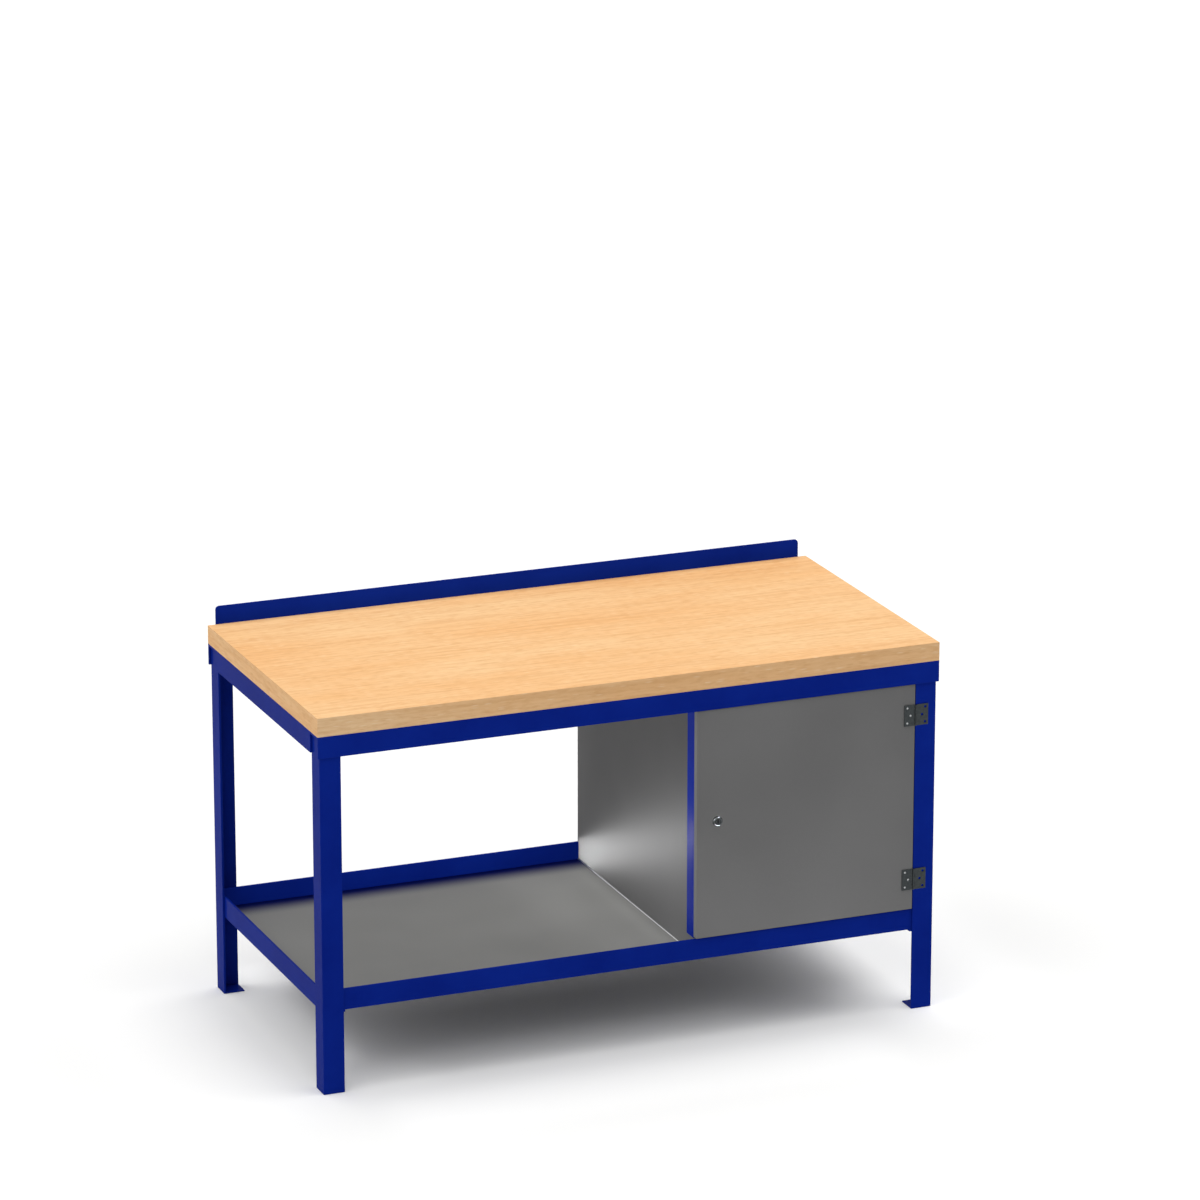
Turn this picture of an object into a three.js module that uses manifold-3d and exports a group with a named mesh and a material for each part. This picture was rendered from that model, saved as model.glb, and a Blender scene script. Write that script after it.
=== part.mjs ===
import * as THREE from 'three';
import { mergeVertices } from 'three/addons/utils/BufferGeometryUtils.js';
import Module from 'manifold-3d';

// A workshop bench: a thick wooden top on a welded frame of angle iron, with a steel shelf low in the
// frame, a low upstand behind the top and a cupboard with one hinged, lockable door at the right.
// Millimetres. +X runs to the right along the front, +Y to the rear and +Z up.
// The origin is on the floor, under the middle of the whole bench.

// Worktop
const TOP_WIDTH = 1500;
const TOP_DEPTH = 750;
const TOP_THICKNESS = 43;

// Welded frame
const FRAME_HEIGHT = 840;
const ANGLE = 50;
const WALL = 5;
const FOOT_THICKNESS = 3;
const SHELF_RAIL_UNDERSIDE = 189;

// Lower shelf
const SHELF_THICKNESS = 2;
const SHELF_GAP = 1;

// Upstand behind the worktop
const UPSTAND_WIDTH = 1460;
const UPSTAND_THICKNESS = 4;
const UPSTAND_BOTTOM = 800;
const UPSTAND_TOP = 926;
const UPSTAND_CORNER = 9;

// Cupboard walls and door post
const CUPBOARD_LEFT = 160;
const SHEET = 1.5;
const FOOT_FOLD = 15;
const FOOT_TOE = 2.5;
const POST_ANGLE = 40;
const POST_FRONT = -352;
const POST_BOTTOM = 242;

// Door: a folded pan with returned edges
const DOOR_WIDTH = 540;
const DOOR_DEPTH = 15;
const DOOR_CLEARANCE = 1.5;
const DOOR_LIP = 14;
const HINGE_GAP = 1;

// Butt hinges
const HINGE_HEIGHTS = { upper: 715, lower: 319 };
const LEAF_HEIGHT = 50;
const LEG_LEAF_REACH = 31;
const DOOR_LEAF_REACH = 28.5;
const LEAF_START = 3.2;
const LEAF_THICKNESS = 2;
const BARREL_RADIUS = 2.4;
const BARREL_STANDOFF = 2.5;
const BARREL_BORE = 1.4;
const PIN_RADIUS = 1.3;
const KNUCKLES = 5;
const KNUCKLE_GAP = 0.4;
const DOOR_LEAF_HOLES = [[21, 18], [13, 0], [21, -18]];
const LEG_LEAF_HOLES = [[23.5, 18], [16, 0], [23.5, -18]];
const LEG_LEAF_HOLE_RADIUS = 3.2;
const RIVET_HOLE_RADIUS = 2.25;
const RIVET_SHANK_RADIUS = 2;

// Cam lock
const LOCK_FROM_DOOR_EDGE = 51;
const LOCK_HEIGHT = 522;
const LOCK_HEAD_RADIUS = 12;
const LOCK_HEAD_DEPTH = 4.5;
const LOCK_HEAD_ROUND = 1.5;
const LOCK_BODY_RADIUS = 9.5;
const LOCK_BODY_LENGTH = 22.5;
const LOCK_HOLE_RADIUS = 9.8;
const LOCK_BORE = 7.6;
const PLUG_RADIUS = 7.5;
const PLUG_RECESS = 0.6;
const PLUG_LENGTH = 24;
const KEY_SLOT = { width: 2.4, height: 9, depth: 5 };
const NUT_RADIUS = 14;
const NUT_THICKNESS = 4;
const CAM_THICKNESS = 2;
const CAM_HALF_WIDTH = 8;
const CAM_REACH = 28;
const CAM_SCREW_SHANK = 2;
const CAM_SCREW_HOLE = 2.2;
const CAM_SCREW_LENGTH = 6;
const CAM_SCREW_HEAD_RADIUS = 4.5;
const CAM_SCREW_HEAD = 2.5;

// Screws that hold the worktop and the upstand
const TOP_SCREW_X = [-620, -230, 230, 620];
const UPSTAND_SCREW_X = [-600, -200, 200, 600];
const HOLE_GAUGE = 30;
const TOP_SCREW_RADIUS = 4;
const TOP_SCREW_HEAD_RADIUS = 7.5;
const TOP_SCREW_HEAD = 5;
const TOP_SCREW_BITE = 30;
const UPSTAND_SCREW_RADIUS = 3.5;
const UPSTAND_SCREW_HEAD_RADIUS = 6.5;
const UPSTAND_SCREW_HEAD = 4;
const UPSTAND_SCREW_BITE = 3.5;
const SCREW_CLEARANCE = 0.3;

// Positions that follow from the sizes above
const HALF_WIDTH = TOP_WIDTH / 2;
const HALF_DEPTH = TOP_DEPTH / 2;
const LEG_X = HALF_WIDTH - WALL;
const LEG_Y = HALF_DEPTH - WALL;
const SHELF_RAIL_X = LEG_X - WALL;
const SHELF_RAIL_Y = LEG_Y - WALL;
const CROSS_RAIL_UNDERSIDE = SHELF_RAIL_UNDERSIDE + WALL;
const CROSS_RAIL_TOP = CROSS_RAIL_UNDERSIDE + ANGLE;
const SHELF_UNDERSIDE = CROSS_RAIL_UNDERSIDE + WALL;
const SHELF_TOP = SHELF_UNDERSIDE + SHELF_THICKNESS;
const RAIL_SEAT = FRAME_HEIGHT - WALL;
const CUPBOARD_RIGHT = SHELF_RAIL_X - WALL;
const CUPBOARD_REAR = SHELF_RAIL_Y;
const HINGE_X = LEG_X - ANGLE - HINGE_GAP / 2;
const HINGE_Y = -LEG_Y - BARREL_STANDOFF;
const DOOR_RIGHT = HINGE_X - HINGE_GAP / 2;
const DOOR_BOTTOM = CROSS_RAIL_TOP + DOOR_CLEARANCE;
const DOOR_TOP = FRAME_HEIGHT - ANGLE - DOOR_CLEARANCE;
const CENTRING_SHIFT = -UPSTAND_THICKNESS / 2;

// Finishes
const BEECH = { color: 0xe0b27c, roughness: 0.55, metalness: 0 };
const BLUE_PAINT = { color: 0x10257a, roughness: 0.25, metalness: 0 };
const GREY_STEEL = { color: 0x77797b, roughness: 0.5, metalness: 0.6 };
const HINGE_STEEL = { color: 0x55595b, roughness: 0.4, metalness: 0.9 };
const RIVET_METAL = { color: 0xb4b6b8, roughness: 0.35, metalness: 1 };
const CHROME = { color: 0xd0d2d4, roughness: 0.12, metalness: 1 };
const DARK_STEEL = { color: 0x4c4e50, roughness: 0.35, metalness: 1 };
const ZINC_STEEL = { color: 0xa0a4a6, roughness: 0.4, metalness: 1 };

const RIGHT = new THREE.Vector3(1, 0, 0);
const REAR = new THREE.Vector3(0, 1, 0);
const UP = new THREE.Vector3(0, 0, 1);
const LEFT = RIGHT.clone().negate();
const FRONT = REAR.clone().negate();
const DOWN = UP.clone().negate();

const ROUND = 32;
const SMALL_ROUND = 20;

const wasm = await Module();
wasm.setup();

function toSolid(geometry) {
  const bare = geometry.clone();
  bare.deleteAttribute('normal');
  bare.deleteAttribute('uv');
  const welded = mergeVertices(bare);
  const mesh = new wasm.Mesh({
    numProp: 3,
    vertProperties: new Float32Array(welded.attributes.position.array),
    triVerts: new Uint32Array(welded.index.array),
  });
  return new wasm.Manifold(mesh);
}

function fromSolid(solid) {
  const mesh = solid.getMesh();
  const geometry = new THREE.BufferGeometry();
  geometry.setAttribute('position', new THREE.BufferAttribute(mesh.vertProperties, 3));
  geometry.setIndex(new THREE.BufferAttribute(mesh.triVerts, 1));
  geometry.computeVertexNormals();
  return geometry;
}

function cut(geometry, tools) {
  let solid = toSolid(geometry);
  for (const tool of tools) {
    solid = solid.subtract(toSolid(tool));
  }
  return fromSolid(solid);
}

function join(geometries) {
  let solid = toSolid(geometries[0]);
  for (const geometry of geometries.slice(1)) {
    solid = solid.add(toSolid(geometry));
  }
  return fromSolid(solid);
}

function block(x0, x1, y0, y1, z0, z1) {
  const geometry = new THREE.BoxGeometry(x1 - x0, y1 - y0, z1 - z0);
  return geometry.translate((x0 + x1) / 2, (y0 + y1) / 2, (z0 + z1) / 2);
}

function rodAlongX(radius, x0, x1, y, z) {
  const geometry = new THREE.CylinderGeometry(radius, radius, x1 - x0, SMALL_ROUND);
  return geometry.rotateZ(-Math.PI / 2).translate((x0 + x1) / 2, y, z);
}

function rodAlongY(radius, y0, y1, x, z, sides = SMALL_ROUND) {
  const geometry = new THREE.CylinderGeometry(radius, radius, y1 - y0, sides);
  return geometry.translate(x, (y0 + y1) / 2, z);
}

function rodAlongZ(radius, z0, z1, x, y, sides = SMALL_ROUND) {
  const geometry = new THREE.CylinderGeometry(radius, radius, z1 - z0, sides);
  return geometry.rotateX(Math.PI / 2).translate(x, y, (z0 + z1) / 2);
}

function turned(profile, sides) {
  const points = profile.map(([radius, along]) => new THREE.Vector2(radius, along));
  return new THREE.LatheGeometry(points, sides);
}

// A shape drawn in X and Z, drawn out along Y
function sheetAlongY(shape, y0, y1) {
  const options = { depth: y1 - y0, bevelEnabled: false, curveSegments: 8 };
  const geometry = new THREE.ExtrudeGeometry(shape, options);
  return geometry.rotateX(Math.PI / 2).translate(0, y1, 0);
}

function polygon(points) {
  return new THREE.Shape(points.map(([x, z]) => new THREE.Vector2(x, z)));
}

// Angle iron with its heel along local Z, one flange along local X and one along local Y
function angleIron(width, length) {
  const section = polygon([[0, 0], [width, 0], [width, WALL], [WALL, WALL], [WALL, width], [0, width]]);
  return new THREE.ExtrudeGeometry(section, { depth: length, bevelEnabled: false });
}

function addPart(parent, name, geometry, finish) {
  const mesh = new THREE.Mesh(geometry, new THREE.MeshStandardMaterial(finish));
  mesh.name = name;
  parent.add(mesh);
  return mesh;
}

// Puts a bar in place: its heel starts at a point and its flanges point along two directions
function layBar(mesh, heel, firstFlange, secondFlange) {
  const run = firstFlange.clone().cross(secondFlange);
  const turn = new THREE.Matrix4().makeBasis(firstFlange, secondFlange, run);
  mesh.rotation.setFromRotationMatrix(turn);
  mesh.position.set(...heel);
}

const bench = new THREE.Group();
bench.name = 'workbench';
bench.position.y = CENTRING_SHIFT;

// Worktop with blind holes for the screws below it
const TOP_SCREW_Y = HALF_DEPTH - HOLE_GAUGE;
const topScrewSpots = [];
for (const y of [-TOP_SCREW_Y, TOP_SCREW_Y]) {
  for (const x of TOP_SCREW_X) {
    topScrewSpots.push([x, y]);
  }
}
const topHoles = topScrewSpots.map(([x, y]) => rodAlongZ(
  TOP_SCREW_RADIUS + SCREW_CLEARANCE, -1, TOP_SCREW_BITE + 1, x, y,
));
const slab = block(-HALF_WIDTH, HALF_WIDTH, -HALF_DEPTH, HALF_DEPTH, 0, TOP_THICKNESS);
const worktop = addPart(bench, 'worktop', cut(slab, topHoles), BEECH);
worktop.position.z = FRAME_HEIGHT;

// Legs and foot plates, corner outward, one quarter turn after another
const corners = [
  { name: 'front_left', x: -1, y: -1, flanges: [RIGHT, REAR] },
  { name: 'front_right', x: 1, y: -1, flanges: [REAR, LEFT] },
  { name: 'rear_right', x: 1, y: 1, flanges: [LEFT, FRONT] },
  { name: 'rear_left', x: -1, y: 1, flanges: [FRONT, RIGHT] },
];
for (const corner of corners) {
  const legLength = RAIL_SEAT - FOOT_THICKNESS;
  const leg = addPart(bench, `leg_${corner.name}`, angleIron(ANGLE, legLength), BLUE_PAINT);
  layBar(leg, [corner.x * LEG_X, corner.y * LEG_Y, FOOT_THICKNESS], ...corner.flanges);
  const plate = new THREE.BoxGeometry(ANGLE, ANGLE, FOOT_THICKNESS);
  const foot = addPart(bench, `foot_plate_${corner.name}`, plate, BLUE_PAINT);
  const footX = corner.x * (LEG_X - ANGLE / 2);
  const footY = corner.y * (LEG_Y - ANGLE / 2);
  foot.position.set(footX, footY, FOOT_THICKNESS / 2);
}

// Top rails: front and rear run the full width, the side rails fit between their flat flanges
const seatHoles = TOP_SCREW_X.map((x) => rodAlongX(
  TOP_SCREW_RADIUS + SCREW_CLEARANCE, -1, WALL + 1, HOLE_GAUGE, HALF_WIDTH + x,
));
const wallHoles = UPSTAND_SCREW_X.map((x) => rodAlongY(
  UPSTAND_SCREW_RADIUS + SCREW_CLEARANCE, -1, WALL + 1, HOLE_GAUGE, HALF_WIDTH + x,
));
const sideRailLength = TOP_DEPTH - 2 * ANGLE;
const frontBar = cut(angleIron(ANGLE, TOP_WIDTH), seatHoles);
const rearBar = cut(angleIron(ANGLE, TOP_WIDTH), [...seatHoles, ...wallHoles]);
const frontRail = addPart(bench, 'top_rail_front', frontBar, BLUE_PAINT);
layBar(frontRail, [-HALF_WIDTH, -HALF_DEPTH, FRAME_HEIGHT], DOWN, REAR);
const rearRail = addPart(bench, 'top_rail_rear', rearBar, BLUE_PAINT);
layBar(rearRail, [HALF_WIDTH, HALF_DEPTH, FRAME_HEIGHT], DOWN, FRONT);
const leftRail = addPart(bench, 'top_rail_left', angleIron(ANGLE, sideRailLength), BLUE_PAINT);
layBar(leftRail, [-HALF_WIDTH, -sideRailLength / 2, FRAME_HEIGHT], RIGHT, DOWN);
const rightRail = addPart(bench, 'top_rail_right', angleIron(ANGLE, sideRailLength), BLUE_PAINT);
layBar(rightRail, [HALF_WIDTH, -sideRailLength / 2, FRAME_HEIGHT], DOWN, LEFT);

// Shelf rails: the side rails fit inside the legs, front and rear rest on the side rails
const shelfSideLength = 2 * SHELF_RAIL_Y;
const shelfCrossLength = 2 * (SHELF_RAIL_X - WALL);
const shelfLeft = addPart(bench, 'shelf_rail_left', angleIron(ANGLE, shelfSideLength), BLUE_PAINT);
layBar(shelfLeft, [-SHELF_RAIL_X, -SHELF_RAIL_Y, SHELF_RAIL_UNDERSIDE], UP, RIGHT);
const shelfRight = addPart(bench, 'shelf_rail_right', angleIron(ANGLE, shelfSideLength), BLUE_PAINT);
layBar(shelfRight, [SHELF_RAIL_X, -SHELF_RAIL_Y, SHELF_RAIL_UNDERSIDE], LEFT, UP);
const shelfFront = addPart(bench, 'shelf_rail_front', angleIron(ANGLE, shelfCrossLength), BLUE_PAINT);
layBar(shelfFront, [-shelfCrossLength / 2, -SHELF_RAIL_Y, CROSS_RAIL_UNDERSIDE], REAR, UP);
const shelfRear = addPart(bench, 'shelf_rail_rear', angleIron(ANGLE, shelfCrossLength), BLUE_PAINT);
layBar(shelfRear, [-shelfCrossLength / 2, SHELF_RAIL_Y, CROSS_RAIL_UNDERSIDE], UP, FRONT);

// Lower shelf, lying loose between the upright flanges of the shelf rails
const shelfWidth = shelfCrossLength - 2 * SHELF_GAP;
const shelfDepth = 2 * (SHELF_RAIL_Y - WALL - SHELF_GAP);
const shelfSheet = new THREE.BoxGeometry(shelfWidth, shelfDepth, SHELF_THICKNESS);
const shelf = addPart(bench, 'lower_shelf', shelfSheet, GREY_STEEL);
shelf.position.z = SHELF_UNDERSIDE + SHELF_THICKNESS / 2;

// Upstand with rounded top corners, on the rear face of the rear top rail
const upstandShape = new THREE.Shape();
const upstandHalf = UPSTAND_WIDTH / 2;
const roundX = upstandHalf - UPSTAND_CORNER;
const roundZ = UPSTAND_TOP - UPSTAND_CORNER;
upstandShape.moveTo(-upstandHalf, UPSTAND_BOTTOM);
upstandShape.lineTo(upstandHalf, UPSTAND_BOTTOM);
upstandShape.lineTo(upstandHalf, roundZ);
upstandShape.absarc(roundX, roundZ, UPSTAND_CORNER, 0, Math.PI / 2, false);
upstandShape.lineTo(-roundX, UPSTAND_TOP);
upstandShape.absarc(-roundX, roundZ, UPSTAND_CORNER, Math.PI / 2, Math.PI, false);
const UPSTAND_SCREW_Z = FRAME_HEIGHT - HOLE_GAUGE;
for (const x of UPSTAND_SCREW_X) {
  const hole = new THREE.Path();
  const holeRadius = UPSTAND_SCREW_RADIUS + SCREW_CLEARANCE;
  hole.absarc(x, UPSTAND_SCREW_Z, holeRadius, 0, 2 * Math.PI, true);
  upstandShape.holes.push(hole);
}
const upstandSheet = sheetAlongY(upstandShape, HALF_DEPTH, HALF_DEPTH + UPSTAND_THICKNESS);
addPart(bench, 'rear_upstand', upstandSheet, BLUE_PAINT);

// Door post, hung from the front top rail along the front edge of the left cupboard wall
const postX = CUPBOARD_LEFT - WALL;
const postBar = angleIron(POST_ANGLE, RAIL_SEAT - POST_BOTTOM);
const post = addPart(bench, 'door_post', postBar, BLUE_PAINT);
layBar(post, [postX, POST_FRONT, POST_BOTTOM], RIGHT, REAR);

// Cupboard walls: the sides stand on the shelf with a folded foot, the back stands on the rear rail
const backFace = CUPBOARD_REAR - SHEET;
const railFace = SHELF_RAIL_Y - WALL;
const rearNotch = block(-HALF_WIDTH, HALF_WIDTH, railFace, HALF_DEPTH, 0, CROSS_RAIL_TOP);
const seatEdge = HALF_DEPTH - ANGLE - SCREW_CLEARANCE;
const leftWallShape = polygon([
  [CUPBOARD_LEFT - FOOT_TOE, SHELF_TOP],
  [CUPBOARD_LEFT + FOOT_FOLD, SHELF_TOP],
  [CUPBOARD_LEFT + FOOT_FOLD, SHELF_TOP + SHEET],
  [CUPBOARD_LEFT + SHEET, SHELF_TOP + SHEET],
  [CUPBOARD_LEFT + SHEET, FRAME_HEIGHT],
  [CUPBOARD_LEFT, FRAME_HEIGHT],
  [CUPBOARD_LEFT, SHELF_TOP + FOOT_TOE],
]);
const leftWallBlank = sheetAlongY(leftWallShape, POST_FRONT + WALL, backFace);
const leftWall = cut(leftWallBlank, [
  rearNotch,
  block(0, HALF_WIDTH, -HALF_DEPTH, -seatEdge, RAIL_SEAT, FRAME_HEIGHT + 1),
  block(0, HALF_WIDTH, seatEdge, HALF_DEPTH, RAIL_SEAT, FRAME_HEIGHT + 1),
]);
addPart(bench, 'cupboard_side_left', leftWall, GREY_STEEL);
const rightWallShape = polygon([
  [CUPBOARD_RIGHT - FOOT_FOLD, SHELF_TOP],
  [CUPBOARD_RIGHT, SHELF_TOP],
  [CUPBOARD_RIGHT, RAIL_SEAT],
  [CUPBOARD_RIGHT - SHEET, RAIL_SEAT],
  [CUPBOARD_RIGHT - SHEET, SHELF_TOP + SHEET],
  [CUPBOARD_RIGHT - FOOT_FOLD, SHELF_TOP + SHEET],
]);
const rightWall = cut(sheetAlongY(rightWallShape, -railFace, backFace), [rearNotch]);
addPart(bench, 'cupboard_side_right', rightWall, GREY_STEEL);
const backWall = block(CUPBOARD_LEFT, CUPBOARD_RIGHT, backFace, CUPBOARD_REAR, CROSS_RAIL_TOP, RAIL_SEAT);
addPart(bench, 'cupboard_back', backWall, GREY_STEEL);

// Half a butt hinge about local Z; side is +1 for the leaf on the leg and -1 for the leaf on the door
function hingeLeaf(side, reach, holes, holeRadius) {
  const front = BARREL_STANDOFF - LEAF_THICKNESS;
  const half = LEAF_HEIGHT / 2;
  const plateEdges = [side * LEAF_START, side * reach].sort((a, b) => a - b);
  const pieces = [block(...plateEdges, front, BARREL_STANDOFF, -half, half)];
  const bores = [];
  const pitch = LEAF_HEIGHT / KNUCKLES;
  const wrapEdges = [0, side * (LEAF_START + 1)].sort((a, b) => a - b);
  for (let k = side > 0 ? 0 : 1; k < KNUCKLES; k += 2) {
    const low = -half + k * pitch + KNUCKLE_GAP / 2;
    const high = -half + (k + 1) * pitch - KNUCKLE_GAP / 2;
    pieces.push(rodAlongZ(BARREL_RADIUS, low, high, 0, 0));
    pieces.push(block(...wrapEdges, front, BARREL_RADIUS, low, high));
    bores.push(rodAlongZ(BARREL_BORE, low - 1, high + 1, 0, 0));
  }
  for (const [along, height] of holes) {
    bores.push(rodAlongY(holeRadius, 0, 2 * BARREL_STANDOFF, side * along, height));
  }
  return cut(join(pieces), bores);
}

// Door, hung on the hinge axis
const door = new THREE.Group();
door.name = 'door';
door.position.set(HINGE_X, HINGE_Y, 0);
bench.add(door);
const panRight = DOOR_RIGHT - HINGE_X;
const panLeft = panRight - DOOR_WIDTH;
const panFront = BARREL_STANDOFF;
const panRear = panFront + DOOR_DEPTH;
const lockX = panLeft + LOCK_FROM_DOOR_EDGE;
const skinRear = panFront + 2 * SHEET;
const panHollow = block(
  panLeft + SHEET, panRight - SHEET, panFront + SHEET, panRear - SHEET,
  DOOR_BOTTOM + SHEET, DOOR_TOP - SHEET,
);
const panMouth = block(
  panLeft + DOOR_LIP, panRight - DOOR_LIP, panRear - 2 * SHEET, panRear + 1,
  DOOR_BOTTOM + DOOR_LIP, DOOR_TOP - DOOR_LIP,
);
const lockHole = rodAlongY(LOCK_HOLE_RADIUS, panFront - 1, skinRear, lockX, LOCK_HEIGHT, ROUND);
const panCuts = [panHollow, panMouth, lockHole];
for (const height of Object.values(HINGE_HEIGHTS)) {
  for (const [reach, offset] of DOOR_LEAF_HOLES) {
    panCuts.push(rodAlongY(RIVET_HOLE_RADIUS, panFront - 1, skinRear, -reach, height + offset));
  }
}
const panBlank = block(panLeft, panRight, panFront, panRear, DOOR_BOTTOM, DOOR_TOP);
addPart(door, 'door_pan', cut(panBlank, panCuts), GREY_STEEL);

// Hinges: leg leaf and pin stay with the frame, door leaf and its rivets swing with the door
const grip = LEAF_THICKNESS + SHEET;
const rivetProfile = [
  [0, -1.3], [1.6, -1.1], [2.7, -0.6], [3.2, 0], [RIVET_SHANK_RADIUS, 0],
  [RIVET_SHANK_RADIUS, grip], [3, grip], [2.8, grip + 1], [0, grip + 1.6],
];
for (const [place, height] of Object.entries(HINGE_HEIGHTS)) {
  const legLeaf = hingeLeaf(1, LEG_LEAF_REACH, LEG_LEAF_HOLES, LEG_LEAF_HOLE_RADIUS);
  const legHalf = addPart(bench, `hinge_${place}_leg_leaf`, legLeaf, HINGE_STEEL);
  legHalf.position.set(HINGE_X, HINGE_Y, height);
  const pinRod = rodAlongZ(PIN_RADIUS, -LEAF_HEIGHT / 2, LEAF_HEIGHT / 2, 0, 0);
  const pin = addPart(bench, `hinge_${place}_pin`, pinRod, HINGE_STEEL);
  pin.position.set(HINGE_X, HINGE_Y, height);
  const doorLeaf = hingeLeaf(-1, DOOR_LEAF_REACH, DOOR_LEAF_HOLES, RIVET_HOLE_RADIUS);
  const doorHalf = addPart(door, `hinge_${place}_door_leaf`, doorLeaf, HINGE_STEEL);
  doorHalf.position.z = height;
  DOOR_LEAF_HOLES.forEach(([reach, offset], index) => {
    const rivetName = `hinge_${place}_rivet_${index + 1}`;
    const rivet = addPart(door, rivetName, turned(rivetProfile, SMALL_ROUND), RIVET_METAL);
    rivet.position.set(-reach, panFront - LEAF_THICKNESS, height + offset);
  });
}

// Cam lock: the barrel is clamped in the door by its nut, the plug turns the cam behind the post
const lock = new THREE.Group();
lock.name = 'lock';
lock.position.set(lockX, panFront, LOCK_HEIGHT);
door.add(lock);
const barrelProfile = [
  [LOCK_BORE, -LOCK_HEAD_DEPTH],
  [LOCK_HEAD_RADIUS - LOCK_HEAD_ROUND, -LOCK_HEAD_DEPTH],
  [LOCK_HEAD_RADIUS - LOCK_HEAD_ROUND / 3, -LOCK_HEAD_DEPTH + LOCK_HEAD_ROUND / 3],
  [LOCK_HEAD_RADIUS, -LOCK_HEAD_DEPTH + LOCK_HEAD_ROUND],
  [LOCK_HEAD_RADIUS, 0],
  [LOCK_BODY_RADIUS, 0],
  [LOCK_BODY_RADIUS, LOCK_BODY_LENGTH],
  [LOCK_BORE, LOCK_BODY_LENGTH],
  [LOCK_BORE, -LOCK_HEAD_DEPTH],
];
addPart(lock, 'lock_barrel', turned(barrelProfile, ROUND), CHROME);
const nutBlank = rodAlongY(NUT_RADIUS, SHEET, SHEET + NUT_THICKNESS, 0, 0, 6);
const nutBore = rodAlongY(LOCK_HOLE_RADIUS, 0, 2 * NUT_THICKNESS, 0, 0, ROUND);
addPart(lock, 'lock_nut', cut(nutBlank, [nutBore]), ZINC_STEEL);

const plugFace = PLUG_RECESS - LOCK_HEAD_DEPTH;
const plugBlank = rodAlongY(PLUG_RADIUS, plugFace, PLUG_LENGTH, 0, 0, ROUND);
const keySlot = block(
  -KEY_SLOT.width / 2, KEY_SLOT.width / 2, plugFace - 1, plugFace + KEY_SLOT.depth,
  -KEY_SLOT.height / 2, KEY_SLOT.height / 2,
);
const screwStart = PLUG_LENGTH - CAM_SCREW_LENGTH;
const screwHole = rodAlongY(CAM_SCREW_HOLE, screwStart - 1, PLUG_LENGTH + 1, 0, 0);
addPart(lock, 'lock_plug', cut(plugBlank, [keySlot, screwHole]), DARK_STEEL);
const camRear = PLUG_LENGTH + CAM_THICKNESS;
const camBlank = join([
  block(-CAM_HALF_WIDTH, CAM_HALF_WIDTH, PLUG_LENGTH, camRear, -CAM_REACH, 0),
  rodAlongY(CAM_HALF_WIDTH, PLUG_LENGTH, camRear, 0, 0, ROUND),
]);
const camHole = rodAlongY(CAM_SCREW_HOLE, PLUG_LENGTH - 1, camRear + 1, 0, 0);
addPart(lock, 'lock_cam', cut(camBlank, [camHole]), ZINC_STEEL);
const camScrewProfile = [
  [0, screwStart],
  [CAM_SCREW_SHANK, screwStart],
  [CAM_SCREW_SHANK, camRear],
  [CAM_SCREW_HEAD_RADIUS, camRear],
  [CAM_SCREW_HEAD_RADIUS, camRear + CAM_SCREW_HEAD / 2],
  [CAM_SCREW_HEAD_RADIUS / 2, camRear + CAM_SCREW_HEAD],
  [0, camRear + CAM_SCREW_HEAD],
];
addPart(lock, 'lock_cam_screw', turned(camScrewProfile, SMALL_ROUND), ZINC_STEEL);

// Worktop screws, up through the flat flanges of the front and rear top rails
topScrewSpots.forEach(([x, y], index) => {
  const screwBody = join([
    rodAlongZ(TOP_SCREW_HEAD_RADIUS, -TOP_SCREW_HEAD, 0, 0, 0, 6),
    rodAlongZ(TOP_SCREW_RADIUS, -TOP_SCREW_HEAD / 2, WALL + TOP_SCREW_BITE, 0, 0),
  ]);
  const screw = addPart(bench, `worktop_screw_${index + 1}`, screwBody, ZINC_STEEL);
  screw.position.set(x, y, RAIL_SEAT);
});

// Upstand screws, from inside the rear top rail into the upstand
const upstandScrewProfile = [
  [0, -UPSTAND_SCREW_HEAD],
  [UPSTAND_SCREW_HEAD_RADIUS / 2, -UPSTAND_SCREW_HEAD],
  [UPSTAND_SCREW_HEAD_RADIUS, -UPSTAND_SCREW_HEAD / 3],
  [UPSTAND_SCREW_HEAD_RADIUS, 0],
  [UPSTAND_SCREW_RADIUS, 0],
  [UPSTAND_SCREW_RADIUS, WALL + UPSTAND_SCREW_BITE],
  [0, WALL + UPSTAND_SCREW_BITE],
];
UPSTAND_SCREW_X.forEach((x, index) => {
  const screwBody = turned(upstandScrewProfile, SMALL_ROUND);
  const screw = addPart(bench, `upstand_screw_${index + 1}`, screwBody, ZINC_STEEL);
  screw.position.set(x, HALF_DEPTH - WALL, UPSTAND_SCREW_Z);
});

export default bench;
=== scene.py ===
# %% [markdown]
# A workshop bench with a cupboard.
# The bench has a thick beech top on a welded frame of blue angle iron. A grey steel shelf lies low in
# the frame, and at the right there is a cupboard with one lockable door.
# The sizes come from a CAD model, which is loaded first and is never moved. Blender adds what CAD leaves
# out: rounded edges, folds, paint, wood grain and light.

# %% Load the measured frame
from math import cos, pi, radians, sin

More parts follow.
